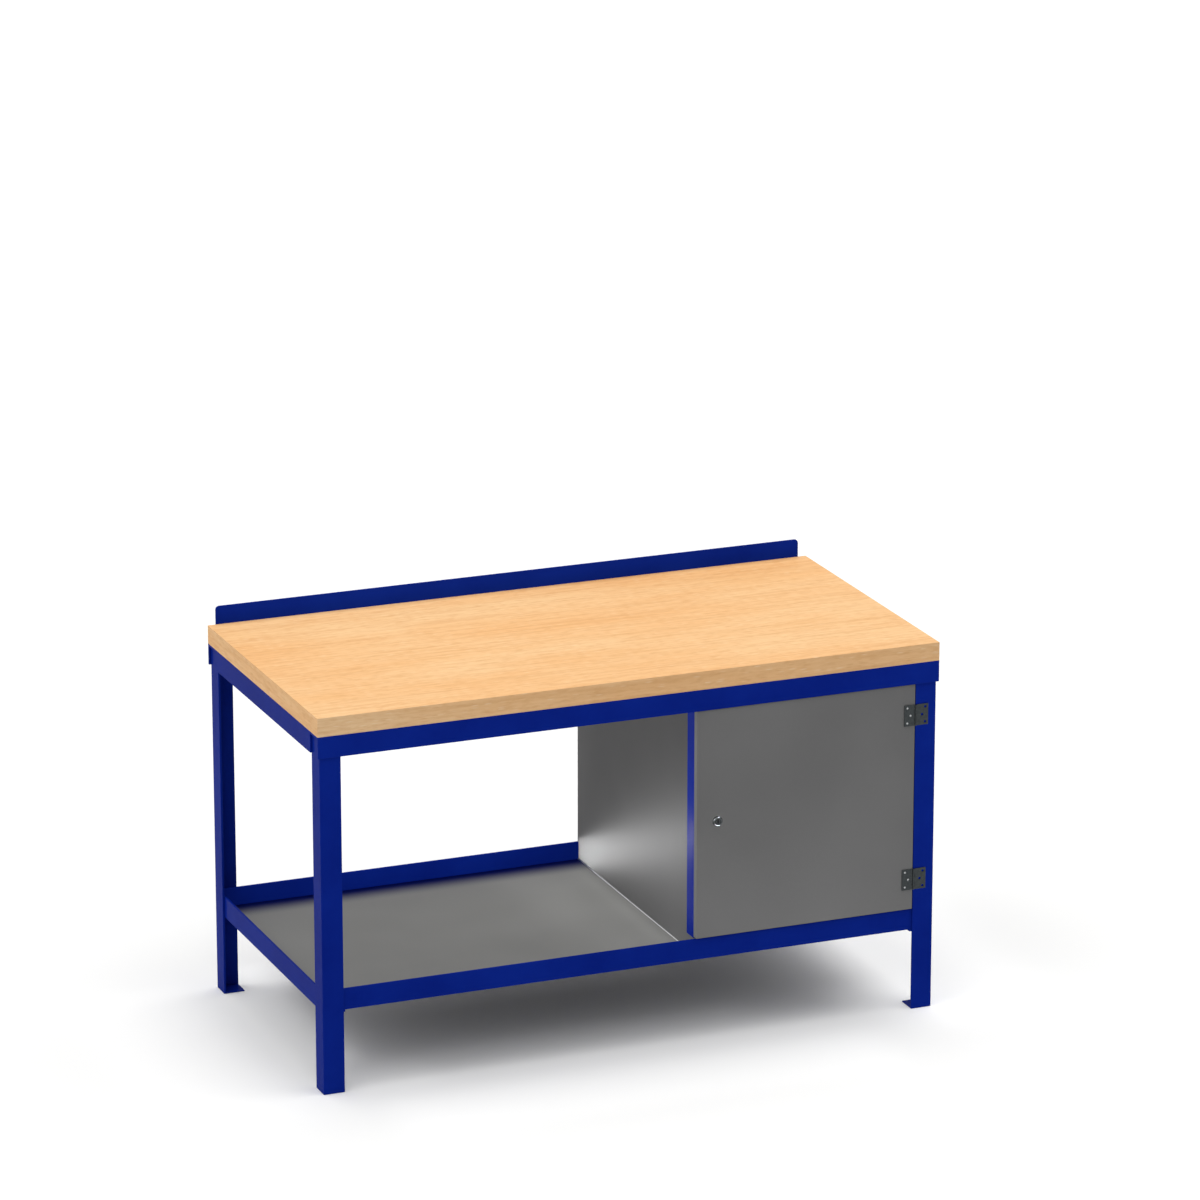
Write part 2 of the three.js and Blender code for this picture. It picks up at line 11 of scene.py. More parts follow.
import bmesh
import bpy
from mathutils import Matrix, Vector


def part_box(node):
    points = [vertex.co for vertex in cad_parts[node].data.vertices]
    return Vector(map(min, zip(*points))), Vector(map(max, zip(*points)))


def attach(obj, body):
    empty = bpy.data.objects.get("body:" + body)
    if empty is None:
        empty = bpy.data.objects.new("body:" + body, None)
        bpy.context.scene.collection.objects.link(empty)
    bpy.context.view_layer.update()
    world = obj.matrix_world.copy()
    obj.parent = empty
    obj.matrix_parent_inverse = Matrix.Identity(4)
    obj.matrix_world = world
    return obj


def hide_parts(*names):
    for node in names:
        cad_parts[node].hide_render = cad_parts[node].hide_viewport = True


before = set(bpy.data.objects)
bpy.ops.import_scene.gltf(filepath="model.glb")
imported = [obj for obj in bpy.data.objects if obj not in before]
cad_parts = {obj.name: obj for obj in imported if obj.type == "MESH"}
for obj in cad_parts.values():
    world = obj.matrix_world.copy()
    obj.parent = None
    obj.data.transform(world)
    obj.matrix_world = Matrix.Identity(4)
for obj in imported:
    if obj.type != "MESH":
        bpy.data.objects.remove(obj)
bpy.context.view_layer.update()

scene = bpy.context.scene
MM = 0.001

# %% [markdown]
# The camera stands far away and looks down a little, from the left of the front.
# A long lens far off keeps the upright legs nearly parallel, as a catalogue picture does. The place, turn
# and lens were worked out from the corners of the bench, so the camera is simply set to those numbers.

# %% Camera
CAMERA_PLACE = (-4.9065, -12.2466, 4.9653)
CAMERA_DOWN = 16.876
CAMERA_TURN = -22.114
CAMERA_LENS = 181.41
FILM_WIDTH = 36
FAR_AWAY = 200
lens = bpy.data.cameras.new("bench_camera")
lens.sensor_width = FILM_WIDTH
lens.lens = CAMERA_LENS
lens.clip_end = FAR_AWAY
camera = bpy.data.objects.new("bench_camera", lens)
camera.location = CAMERA_PLACE
camera.rotation_euler = (radians(90 - CAMERA_DOWN), 0, radians(CAMERA_TURN))
scene.collection.objects.link(camera)
scene.camera = camera
scene.view_settings.view_transform = "Standard"
print("Camera lens", lens.lens, "mm at", CAMERA_PLACE)

# %% [markdown]
# Every finish below is a small network of nodes. Placing nodes by hand takes many lines, so one helper
# adds a node, sets its options and fills its inputs. An input is given a plain value or another node's
# output, and in the second case the helper draws the wire.
# Four short helpers stand on it: one does sums, one maps a range of values to another range, one blends
# two colours, and one turns screen levels from 0 to 255 into the linear light that Blender counts in.

# %% Helpers for nodes
def put(tree, kind, inputs=None, **options):
    node = tree.nodes.new(kind)
    for option, value in options.items():
        setattr(node, option, value)
    for name, value in (inputs or {}).items():
        if isinstance(value, bpy.types.NodeSocket):
            tree.links.new(value, node.inputs[name])
        else:
            node.inputs[name].default_value = value
    return node


def sums(tree, operation, first, second, third=None, clamp=False):
    inputs = {0: first, 1: second}
    if third is not None:
        inputs[2] = third
    return put(tree, "ShaderNodeMath", inputs, operation=operation, use_clamp=clamp).outputs[0]


def between(tree, amount, low, high, from_low=0.0, from_high=1.0, easing="LINEAR"):
    inputs = {"Value": amount, "From Min": from_low, "From Max": from_high, "To Min": low, "To Max": high}
    return put(tree, "ShaderNodeMapRange", inputs, interpolation_type=easing).outputs["Result"]


def blended(tree, amount, first, second, how="MIX"):
    inputs = {0: amount, 6: first, 7: second}
    return put(tree, "ShaderNodeMix", inputs, data_type="RGBA", blend_type=how).outputs[2]


def shade(red, green, blue):
    channels = []
    for level in (red, green, blue):
        part = level / 255
        channels.append(part / 12.92 if part <= 0.04045 else ((part + 0.055) / 1.055) ** 2.4)
    return (*channels, 1.0)


print("Helper test, mid grey in linear light:", round(shade(128, 128, 128)[0], 3))

# %% [markdown]
# The main light is one wide soft dome, as in a white photo tent. Lamps would do it too, but each lamp
# leaves its own bright pool on the floor, and the tent has none.
# The dome is brightest overhead and falls off to nothing at the floor, so a flat top gets more light than
# an upright front, and the shadow stays close to the bench. It is a little brighter to the left and right
# and darker behind. Seen by the camera or in a reflection, the tent is plain white.

# %% Dome of soft light
OVERHEAD = 2.35
OVERHEAD_FOCUS = 10.0
SIDES = 1.40
SIDES_FADE = 0.75
LEFT_AND_RIGHT = 1.6
BEHIND = 0.70
WHITE_TENT = 1.0


def seen_or_mirrored(tree):
    ray = put(tree, "ShaderNodeLightPath").outputs
    seen = sums(tree, "ADD", ray["Is Camera Ray"], ray["Is Glossy Ray"], clamp=True)
    return sums(tree, "ADD", seen, ray["Is Transmission Ray"], clamp=True)


dome = bpy.data.worlds.new("studio_dome")
dome.use_nodes = True
scene.world = dome
tree = dome.node_tree
tree.nodes.clear()
toward = put(tree, "ShaderNodeTexCoord").outputs["Generated"]
toward = put(tree, "ShaderNodeSeparateXYZ", {"Vector": toward}).outputs
height = sums(tree, "MAXIMUM", toward["Z"], 0.0)
behind = sums(tree, "MAXIMUM", toward["Y"], 0.0)
sideways = sums(tree, "MULTIPLY", toward["X"], toward["X"])
evenness = sums(tree, "MULTIPLY_ADD", sideways, LEFT_AND_RIGHT, 1.0)
evenness = sums(tree, "MULTIPLY_ADD", sums(tree, "MULTIPLY", behind, behind), -BEHIND, evenness)
top_light = sums(tree, "MULTIPLY", sums(tree, "POWER", height, OVERHEAD_FOCUS), OVERHEAD)
side_light = sums(tree, "MULTIPLY", sums(tree, "MULTIPLY_ADD", height, -SIDES_FADE, SIDES), height)
light = sums(tree, "MULTIPLY_ADD", side_light, evenness, top_light)
strength = between(tree, seen_or_mirrored(tree), light, WHITE_TENT)
glow = put(tree, "ShaderNodeBackground", {"Color": (1, 1, 1, 1), "Strength": strength})
put(tree, "ShaderNodeOutputWorld", {"Surface": glow.outputs[0]})
print("Light straight up:", round(OVERHEAD + SIDES - SIDES_FADE, 2))

# %% [markdown]
# The floor is plain white paper, just a touch warm, that runs out of sight. It keeps the soft shadow under
# the bench. Seen by the camera or in a reflection it is white, and for light that bounces up from it, it is
# a light grey. A fully white floor would throw so much light up that the underside lost its shadows.

# %% Floor
FLOOR_HALF = 30.0
FLOOR_SQUARES = 8
FLOOR_GAP = 0.2 * MM
PAPER_WHITE = (1.0, 0.999, 0.989, 1.0)
PAPER_BOUNCE = (0.70, 0.70, 0.70, 1.0)
shape = bmesh.new()
bmesh.ops.create_grid(shape, x_segments=FLOOR_SQUARES, y_segments=FLOOR_SQUARES, size=FLOOR_HALF)
floor_mesh = bpy.data.meshes.new("paper_floor")
shape.to_mesh(floor_mesh)
shape.free()
floor = bpy.data.objects.new("paper_floor", floor_mesh)
floor.location.z = -FLOOR_GAP
scene.collection.objects.link(floor)
paper = bpy.data.materials.new("white_paper")
paper.use_nodes = True
tree = paper.node_tree
tree.nodes.clear()
tone = blended(tree, seen_or_mirrored(tree), PAPER_BOUNCE, PAPER_WHITE)
matt = put(tree, "ShaderNodeBsdfDiffuse", {"Color": tone})
put(tree, "ShaderNodeOutputMaterial", {"Surface": matt.outputs[0]})
floor_mesh.materials.append(paper)
print("Floor of", 2 * FLOOR_HALF, "metres")

# %% [markdown]
# Paint, wood and bare metal share the same start: a principled shader, and coordinates in metres that stay
# with the piece. One helper makes that start, so each finish only adds its own detail.
# A second helper makes a soft cloud of noise, which can be stretched along one direction. A third adds
# relief with a bump node, and a fourth tells which way the surface faces. The last one finds the edges,
# where a finish wears first: it compares the true direction of the surface with a rounded one.

# %% Start of a finish, noise, relief and edges
EDGE_FULL = 0.72
EDGE_NONE = 0.99


def new_finish(name, **shader):
    finish = bpy.data.materials.new(name)
    finish.use_nodes = True
    tree = finish.node_tree
    tree.nodes.clear()
    surface = put(tree, "ShaderNodeBsdfPrincipled")
    for socket, value in shader.items():
        surface.inputs[socket.replace("_", " ")].default_value = value
    put(tree, "ShaderNodeOutputMaterial", {"Surface": surface.outputs[0]})
    place = put(tree, "ShaderNodeTexCoord").outputs["Object"]
    return finish, tree, surface, place


def cloud(tree, place, scale=1.0, detail=2.0, stretch=None, rough=0.5):
    if stretch is not None:
        place = put(tree, "ShaderNodeMapping", {"Vector": place, "Scale": stretch}).outputs[0]
    inputs = {"Vector": place, "Scale": scale, "Detail": detail, "Roughness": rough}
    return put(tree, "ShaderNodeTexNoise", inputs).outputs[0]


def relief(tree, surface, height, strength, depth):
    inputs = {"Height": height, "Strength": strength, "Distance": depth}
    bump = put(tree, "ShaderNodeBump", inputs)
    tree.links.new(bump.outputs[0], surface.inputs["Normal"])


def facing_parts(tree):
    normal = put(tree, "ShaderNodeNewGeometry").outputs["Normal"]
    return put(tree, "ShaderNodeSeparateXYZ", {"Vector": normal}).outputs


def edge_mask(tree, radius):
    rounded = put(tree, "ShaderNodeBevel", {"Radius": radius}, samples=4).outputs[0]
    plain = put(tree, "ShaderNodeNewGeometry").outputs["Normal"]
    inputs = {0: rounded, 1: plain}
    agree = put(tree, "ShaderNodeVectorMath", inputs, operation="DOT_PRODUCT").outputs["Value"]
    return between(tree, agree, 1.0, 0.0, EDGE_FULL, EDGE_NONE)


print("Helpers for finishes are ready")

# %% [markdown]
# The frame is sprayed with a deep blue enamel. It dries to a fine orange-peel skin, is a shade uneven
# where the coats overlap, and is thinner along the edges, where it looks a little lighter.
# The reflection is kept weak, because the white tent around it is far brighter than a workshop.

# %% Blue enamel
BLUE = shade(14, 41, 145)
BLUE_DEEP = shade(11, 35, 134)
BLUE_THIN = shade(52, 80, 186)
BLUE_GLOSS = 0.006
BLUE_WORN_EDGE = 1.6 * MM
BLUE_WEAR = 0.6
ORANGE_PEEL = 0.3 * MM
blue_enamel, tree, surface, place = new_finish("blue_enamel", Specular_IOR_Level=BLUE_GLOSS)
coats = cloud(tree, place, scale=5.0, detail=4.0, rough=0.6)
colour = blended(tree, between(tree, coats, 0.0, 1.0, 0.35, 0.65), BLUE_DEEP, BLUE)
chips = cloud(tree, place, scale=90.0, detail=3.0)
worn = sums(tree, "MULTIPLY", edge_mask(tree, BLUE_WORN_EDGE), chips)
colour = blended(tree, sums(tree, "MULTIPLY", worn, BLUE_WEAR), colour, BLUE_THIN)
tree.links.new(colour, surface.inputs["Base Color"])
haze = cloud(tree, place, scale=30.0, detail=3.0)
tree.links.new(between(tree, haze, 0.16, 0.27), surface.inputs["Roughness"])
relief(tree, surface, cloud(tree, place, scale=650.0), strength=0.05, depth=ORANGE_PEEL)
print("Finish:", blue_enamel.name)

# %% [markdown]
# The sheet parts have a grey satin coat. Close up it is a very fine speckle, and from a step away it is
# smooth with faint clouds. Undersides are painted darker, as painted shade where they face the floor.
# The shelf has a lighter grey and is smoother. Along the rear rail it has a dark bluish band, which stands
# for the deep shade in that corner. One helper makes both coats, and only the shelf is told where the
# corner is.

# %% Grey satin coat
PANEL_GREYS = (shade(107, 107, 107), shade(115, 115, 115), shade(162, 162, 162))
SHELF_GREYS = (shade(132, 132, 130), shade(140, 140, 138), shade(176, 176, 174))
UNDERSIDE_SHADE = shade(78, 78, 79)
FACES_DOWN = (-0.9, -0.6)
CORNER_SHADE = shade(4, 14, 80)
CORNER_REACH = (90 * MM, 9 * MM)
GREY_WORN_EDGE = 1.2 * MM
GREY_WEAR = 0.7
SPECKLE_SCALE = 2200.0
SPECKLE_WEIGHT = 0.16
SPECKLE_DEPTH = 0.1 * MM
DULL_SPREAD = 0.02


def grey_coat(name, greys, gloss, dull, corner=None):
    dark, light, thin = greys
    finish, tree, surface, place = new_finish(name, Specular_IOR_Level=gloss)
    clouds = cloud(tree, place, scale=3.0)
    colour = blended(tree, between(tree, clouds, 0.0, 1.0, 0.3, 0.7), dark, light)
    speckle = cloud(tree, place, SPECKLE_SCALE)
    colour = blended(tree, between(tree, speckle, 0.0, SPECKLE_WEIGHT, 0.45, 0.75), colour, thin)
    chips = cloud(tree, place, scale=120.0, detail=3.0)
    worn = sums(tree, "MULTIPLY", edge_mask(tree, GREY_WORN_EDGE), chips)
    colour = blended(tree, sums(tree, "MULTIPLY", worn, GREY_WEAR), colour, thin)
    # Faces turned down get a darker grey: painted shade.
    below = between(tree, facing_parts(tree)["Z"], 1.0, 0.0, *FACES_DOWN)
    colour = blended(tree, below, colour, UNDERSIDE_SHADE)
    if corner is not None:
        along_depth = put(tree, "ShaderNodeSeparateXYZ", {"Vector": place}).outputs["Y"]
        band = [corner - reach for reach in CORNER_REACH]
        near = between(tree, along_depth, 0.0, 1.0, *band, "SMOOTHSTEP")
        colour = blended(tree, near, colour, CORNER_SHADE)
    tree.links.new(colour, surface.inputs["Base Color"])
    tree.links.new(between(tree, clouds, dull - DULL_SPREAD, dull + DULL_SPREAD), surface.inputs["Roughness"])
    relief(tree, surface, speckle, strength=0.05, depth=SPECKLE_DEPTH)
    return finish


shelf_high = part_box("lower_shelf")[1]
grey_satin = grey_coat("grey_satin", PANEL_GREYS, gloss=0.015, dull=0.48)
shelf_satin = grey_coat("shelf_satin", SHELF_GREYS, gloss=0.006, dull=0.30, corner=shelf_high.y)
print("Finishes:", grey_satin.name, "and", shelf_satin.name)

# %% [markdown]
# The top is steamed beech. Its grain is drawn first, as patterns without colour: broad bands, long thin
# lines, fine fibres, short strokes and small lens-shaped flecks.
# Noise that is squeezed across the grain gives the bands, lines, fibres and strokes, and stretched cells
# give the flecks. Strokes and flecks wander a little, as the fibres of a tree do. The grain runs along the
# length on the top and the long edges, and along the depth on the two short edges, as a real veneer does.

# %% Grain of the beech
BAND_STRETCH = (2.0, 6.0, 6.0)
LINE_STRETCH = (2.4, 84.0, 84.0)
FIBRE_STRETCH = (7.0, 190.0, 190.0)
STROKE_STRETCH = (28.0, 120.0, 120.0)
FLECK_STRETCH = (34.0, 230.0, 230.0)
WANDER_STRETCH = (6.0, 30.0, 30.0)
WANDER = (0.0, 0.004, 0.004)
SIDEWAYS = 0.7
QUARTER_TURN = (0, 0, pi / 2)
BEECH_GLOSS = 0.10
beech, tree, surface, place = new_finish("beech", Specular_IOR_Level=BEECH_GLOSS)
facing = facing_parts(tree)
on_short_edge = sums(tree, "GREATER_THAN", sums(tree, "ABSOLUTE", facing["X"], 0.0), SIDEWAYS)
on_long_edge = sums(tree, "GREATER_THAN", sums(tree, "ABSOLUTE", facing["Y"], 0.0), SIDEWAYS)
turned = put(tree, "ShaderNodeMapping", {"Vector": place, "Rotation": QUARTER_TURN}).outputs[0]
ways = {0: on_short_edge, 4: place, 5: turned}
grain = put(tree, "ShaderNodeMix", ways, data_type="VECTOR").outputs[1]
bands = cloud(tree, grain, detail=3.0, stretch=BAND_STRETCH)
fibres = cloud(tree, grain, detail=4.0, stretch=FIBRE_STRETCH, rough=0.6)
long_lines = cloud(tree, grain, detail=1.0, stretch=LINE_STRETCH)
drift = cloud(tree, grain, stretch=WANDER_STRETCH)
drift = put(tree, "ShaderNodeVectorMath", {0: drift, 1: WANDER}, operation="MULTIPLY").outputs[0]
bent = put(tree, "ShaderNodeVectorMath", {0: grain, 1: drift}, operation="ADD").outputs[0]
strokes = cloud(tree, bent, stretch=STROKE_STRETCH, rough=0.6)
cells = put(tree, "ShaderNodeMapping", {"Vector": bent, "Scale": FLECK_STRETCH}).outputs[0]
fleck = put(tree, "ShaderNodeTexVoronoi", {"Vector": cells, "Scale": 1.0, "Randomness": 1.0}).outputs
lens_shape = between(tree, fleck["Distance"], 1.0, 0.0, 0.12, 0.42)
chance = put(tree, "ShaderNodeSeparateColor", {"Color": fleck["Color"]}).outputs[0]
dash = sums(tree, "MULTIPLY", lens_shape, between(tree, chance, 0.0, 1.0, 0.48, 0.85))
gleam = sums(tree, "MULTIPLY", lens_shape, between(tree, chance, 1.0, 0.0, 0.08, 0.42))
print("Grain patterns for", beech.name)

# %% [markdown]
# Now the patterns get their colours. Each is laid over the one before with its own weight, as a painter
# would do: peach ground and pale bands first, then the darker lines, and last the light flecks. A row of
# the dark layers holds a pattern, its weight, and the levels of noise where it begins and is full.
# The long edges are a little greyer than the top, and the underside is painted darker: painted shade.

# %% Colours of the beech
BEECH_PEACH = (0.902, 0.497, 0.206, 1.0)
BEECH_PALE = (0.955, 0.626, 0.322, 1.0)
BEECH_FLECK = (0.65, 0.28, 0.080, 1.0)
BEECH_LIGHT = (0.99, 0.690, 0.390, 1.0)
BEECH_UNDERSIDE_SHADE = (0.40, 0.36, 0.32, 1.0)
BEECH_EDGE_TONE = (0.937, 1.0, 1.12, 1.0)
DARK_LAYERS = ((fibres, 0.22, 0.42, 0.72), (strokes, 0.30, 0.48, 0.72), (long_lines, 0.25, 0.50, 0.74))
DASH_WEIGHT = 0.30
GLEAM_WEIGHT = 0.60
GRAIN_DEPTH = -0.15 * MM
colour = blended(tree, between(tree, bands, 0.15, 0.85, 0.35, 0.66), BEECH_PEACH, BEECH_PALE)
for pattern, weight, begins, full in DARK_LAYERS:
    colour = blended(tree, between(tree, pattern, 0.0, weight, begins, full), colour, BEECH_FLECK)
colour = blended(tree, sums(tree, "MULTIPLY", dash, DASH_WEIGHT), colour, BEECH_FLECK)
colour = blended(tree, sums(tree, "MULTIPLY", gleam, GLEAM_WEIGHT), colour, BEECH_LIGHT)
colour = blended(tree, on_long_edge, colour, BEECH_EDGE_TONE, "MULTIPLY")
# The underside gets a darker grey: painted shade.
colour = blended(tree, between(tree, facing["Z"], 1.0, 0.0, *FACES_DOWN), colour, BEECH_UNDERSIDE_SHADE)
tree.links.new(colour, surface.inputs["Base Color"])
tree.links.new(between(tree, fibres, 0.42, 0.58), surface.inputs["Roughness"])
relief(tree, surface, sums(tree, "ADD", fibres, dash), strength=0.12, depth=GRAIN_DEPTH)
print("Finish:", beech.name)

# %% [markdown]
# The hinges are dark oiled steel and the small fittings are bright. Each bare metal is the same idea with
# its own colour and polish: fine scratches in the roughness, faint stains in the colour, and edges rubbed
# brighter. So one helper makes them all, from a table of three shades and a roughness for each.

# %% Bare metals
METALS = {
    "hinge_dark": ((66, 70, 71), (56, 60, 62), (120, 124, 126), 0.45),
    "rivet_bright": ((182, 184, 186), (164, 166, 168), (212, 214, 216), 0.34),
    "lock_chrome": ((74, 77, 79), (66, 69, 71), (104, 107, 110), 0.15),
    "plug_dark": ((62, 65, 67), (54, 57, 59), (96, 99, 102), 0.32),
    "zinc_plate": ((168, 172, 174), (150, 152, 148), (205, 208, 210), 0.38),
    "edge_bright": ((214, 215, 216), (200, 201, 200), (230, 230, 230), 0.30),
}
RUBBED_EDGE = 0.6 * MM
RUBBED_WEIGHT = 0.5
SCRATCH_SCALE = 1800.0
SCRATCH_STRETCH = (1.0, 1.0, 0.06)
SCRATCH_SPREAD = (0.75, 1.3)
SCRATCH_DEPTH = 0.05 * MM


def bare_metal(name, main, stain, rubbed, polish):
    finish, tree, surface, place = new_finish(name, Metallic=1.0)
    stains = cloud(tree, place, scale=160.0, detail=4.0, rough=0.6)
    colour = blended(tree, between(tree, stains, 0.0, 1.0, 0.35, 0.7), shade(*main), shade(*stain))
    rub = sums(tree, "MULTIPLY", edge_mask(tree, RUBBED_EDGE), RUBBED_WEIGHT)
    colour = blended(tree, rub, colour, shade(*rubbed))
    tree.links.new(colour, surface.inputs["Base Color"])
    lines = cloud(tree, place, SCRATCH_SCALE, stretch=SCRATCH_STRETCH)
    smooth, rough = (polish * part for part in SCRATCH_SPREAD)
    tree.links.new(between(tree, lines, smooth, rough), surface.inputs["Roughness"])
    relief(tree, surface, lines, strength=0.05, depth=SCRATCH_DEPTH)
    return finish


metals = {name: bare_metal(name, *recipe) for name, recipe in METALS.items()}
print("Bare metals:", ", ".join(metals))

# %% [markdown]
# A rolled bar or a cut sheet never has a knife edge. The CAD model does, because its sharp edges are
# simpler to measure. Three modifiers put that right without touching the measured mesh: the first welds
# the loose triangles together, the second removes the lines across flat faces, and the third rounds
# every sharp edge that is left.

# %% Rounded edges
WELD_GAP = 0.001 * MM
FLAT_BELOW = radians(1)
SHARP_ABOVE = radians(35)


def weld_group():
    group = bpy.data.node_groups.new("weld_triangles", "GeometryNodeTree")
    group.interface.new_socket("Geometry", in_out="INPUT", socket_type="NodeSocketGeometry")
    group.interface.new_socket("Geometry", in_out="OUTPUT", socket_type="NodeSocketGeometry")
    mesh = put(group, "NodeGroupInput").outputs[0]
    steps = (
        ("GeometryNodeRemoveAttribute", {"Name": "custom_normal"}, {}),
        ("GeometryNodeMergeByDistance", {"Distance": WELD_GAP}, {}),
        ("GeometryNodeSetShadeSmooth", {}, {"domain": "FACE"}),
        ("GeometryNodeSetShadeSmooth", {}, {"domain": "EDGE"}),
    )
    for kind, inputs, options in steps:
        mesh = put(group, kind, {"Geometry": mesh, **inputs}, **options).outputs[0]
    put(group, "NodeGroupOutput", {0: mesh})
    return group


WELD = weld_group()


def round_edges(piece, radius, steps=3):
    piece.modifiers.new("weld", "NODES").node_group = WELD
    flat = piece.modifiers.new("flat_faces", "DECIMATE")
    flat.decimate_type = "DISSOLVE"
    flat.angle_limit = FLAT_BELOW
    edge = piece.modifiers.new("rounded_edges", "BEVEL")
    edge.width = radius
    edge.segments = steps
    edge.limit_method = "ANGLE"
    edge.angle_limit = SHARP_ABOVE
    edge.harden_normals = True


print("Welding group of", len(WELD.nodes), "nodes")

# %% [markdown]
# The CAD model names a material for each piece, so a table says which finish and which edge radius go with
# it. Only the shelf differs from the other grey sheets.
# The two hinge leaves on the leg have open holes. They cast no shadow, so that the blue of the leg shows
# in these small holes and they don't fill up with black.

# %% Finishes of the CAD pieces
FINISHES = {
    "worktop_wood": (beech, 1.2 * MM),
    "blue_paint": (blue_enamel, 0.8 * MM),
    "grey_steel": (grey_satin, 0.35 * MM),
    "hinge_steel": (metals["hinge_dark"], 0.25 * MM),
    "rivet_metal": (metals["rivet_bright"], 0.15 * MM),
    "lock_chrome": (metals["lock_chrome"], 0.3 * MM),
    "lock_plug_steel": (metals["plug_dark"], 0.2 * MM),
    "zinc_steel": (metals["zinc_plate"], 0.3 * MM),
}
for name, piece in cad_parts.items():
    finish, radius = FINISHES[piece.material_slots[0].material.name]
    piece.material_slots[0].material = shelf_satin if name == "lower_shelf" else finish
    round_edges(piece, radius)
for level in ("upper", "lower"):
    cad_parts[f"hinge_{level}_leg_leaf"].visible_shadow = False
print("Rounded and finished", len(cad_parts), "CAD pieces")

# %% [markdown]
# New pieces are drawn as a bmesh, which is a mesh that is still being worked on. One helper turns it into
# a finished piece: it shades curves smooth and folds sharp, gives the piece its finish, makes it move with
# the right body, and lets it stand for a CAD piece. Another turns half an outline about an axis, as on a
# lathe, for everything that is round.

# %% From bmesh to piece
SMOOTH_BELOW = radians(32)


def to_object(name, shape):
    mesh = bpy.data.meshes.new(name)
    shape.to_mesh(mesh)
    shape.free()
    piece = bpy.data.objects.new(name, mesh)
    scene.collection.objects.link(piece)
    return piece


def make_piece(name, shape, finish, body, stands_for=None):
    bmesh.ops.recalc_face_normals(shape, faces=shape.faces)
    for face in shape.faces:
        face.smooth = True
    for edge in shape.edges:
        edge.smooth = len(edge.link_faces) == 2 and edge.calc_face_angle() < SMOOTH_BELOW
    piece = to_object(name, shape)
    piece.data.materials.append(finish)
    piece.modifiers.new("flat_faces_stay_flat", "WEIGHTED_NORMAL").keep_sharp = True
    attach(piece, body)
    if stands_for:
        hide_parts(stands_for)
    return piece


def add_turned(shape, profile, centre, steps=48):
    rings = []
    for radius, along in profile:
        count = steps if radius > 0 else 1
        ring = []
        for step in range(count):
            turn = 2 * pi * step / steps
            spot = Vector((radius * cos(turn), along, radius * sin(turn)))
            ring.append(shape.verts.new(centre + spot))
        rings.append(ring)
    for near, far in zip(rings, rings[1:]):
        for step in range(steps):
            after = (step + 1) % steps
            corners = [near[step % len(near)], near[after % len(near)]]
            corners += [far[after % len(far)], far[step % len(far)]]
            shape.faces.new(list(dict.fromkeys(corners)))


print("Helpers for new pieces are ready")

# %% [markdown]
# The door is one sheet, cut with notched corners and folded to a shallow pan with a lip all round the
# back. A folded sheet has a small radius at each bend, inside and out, which a plain bevel on a thin
# solid can't give. So the door is drawn as a skin without thickness, its folds are rounded, and a
# Solidify modifier gives it the thickness of the sheet.

# %% Skin of the folded door
SHEET = 1.5 * MM
FOLD = 2.3 * MM
FOLD_STEPS = 5
LIP = 14 * MM
NOTCH = 3 * MM
low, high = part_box("door_pan")
shape = bmesh.new()
corners = [(low.x, low.z), (high.x, low.z), (high.x, high.z), (low.x, high.z)]
front = [shape.verts.new((x, low.y, z)) for x, z in corners]
back = [shape.verts.new((x, high.y, z)) for x, z in corners]
shape.faces.new(front)
for here in range(len(corners)):
    there = (here + 1) % len(corners)
    along = (back[there].co - back[here].co).normalized()
    inward = Vector((0, 1, 0)).cross(along) * -1
    start = shape.verts.new(back[here].co + along * NOTCH)
    end = shape.verts.new(back[there].co - along * NOTCH)
    lip_start = shape.verts.new(start.co + (along + inward) * LIP)
    lip_end = shape.verts.new(end.co + (inward - along) * LIP)
    shape.faces.new([front[here], back[here], start, end, back[there], front[there]])
    shape.faces.new([start, lip_start, lip_end, end])
folds = [edge for edge in shape.edges if len(edge.link_faces) == 2]
bmesh.ops.bevel(shape, geom=folds, offset=FOLD, segments=FOLD_STEPS, profile=0.5, affect="EDGES")
skin = to_object("door_skin", shape)
thick = skin.modifiers.new("sheet", "SOLIDIFY")
thick.thickness = SHEET
thick.offset = -1
thick.use_even_offset = True
print("Door skin:", len(skin.data.polygons), "faces, from", len(folds), "folds")

# %% [markdown]
# Holes for the lock and the rivets are cut last. A set of drills, which are turned plugs a little longer
# than the sheet is thick, is taken away from the door with a Boolean modifier. The finished shape is then
# read back into a bmesh, so that no modifier has to stay and the helpers can be deleted.

# %% Holes in the door
LOCK_HOLE = 9.8 * MM
RIVET_HOLE = 2.25 * MM
lock_low, lock_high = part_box("lock_barrel")
lock_spot = (lock_low + lock_high) / 2
rivet_names = [f"hinge_{level}_rivet_{number}" for level in ("upper", "lower") for number in (1, 2, 3)]
rivet_spots = {name: sum(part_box(name), Vector()) / 2 for name in rivet_names}
holes = [(lock_spot, LOCK_HOLE)] + [(spot, RIVET_HOLE) for spot in rivet_spots.values()]
shape = bmesh.new()
for spot, radius in holes:
    spot = Vector((spot.x, low.y, spot.z))
    add_turned(shape, [(0, -SHEET), (radius, -SHEET), (radius, 2 * SHEET), (0, 2 * SHEET)], spot)
bmesh.ops.recalc_face_normals(shape, faces=shape.faces)
drills = to_object("drills", shape)
drilled = skin.modifiers.new("holes", "BOOLEAN")
drilled.operation = "DIFFERENCE"
drilled.object = drills
bpy.context.view_layer.update()
shape = bmesh.new()
shape.from_object(skin, bpy.context.evaluated_depsgraph_get())
for helper in (skin, drills):
    bpy.data.objects.remove(helper)
door = make_piece("door_folded", shape, grey_satin, "door", "door_pan")
print("Door:", len(door.data.polygons), "faces with", len(holes), "holes")

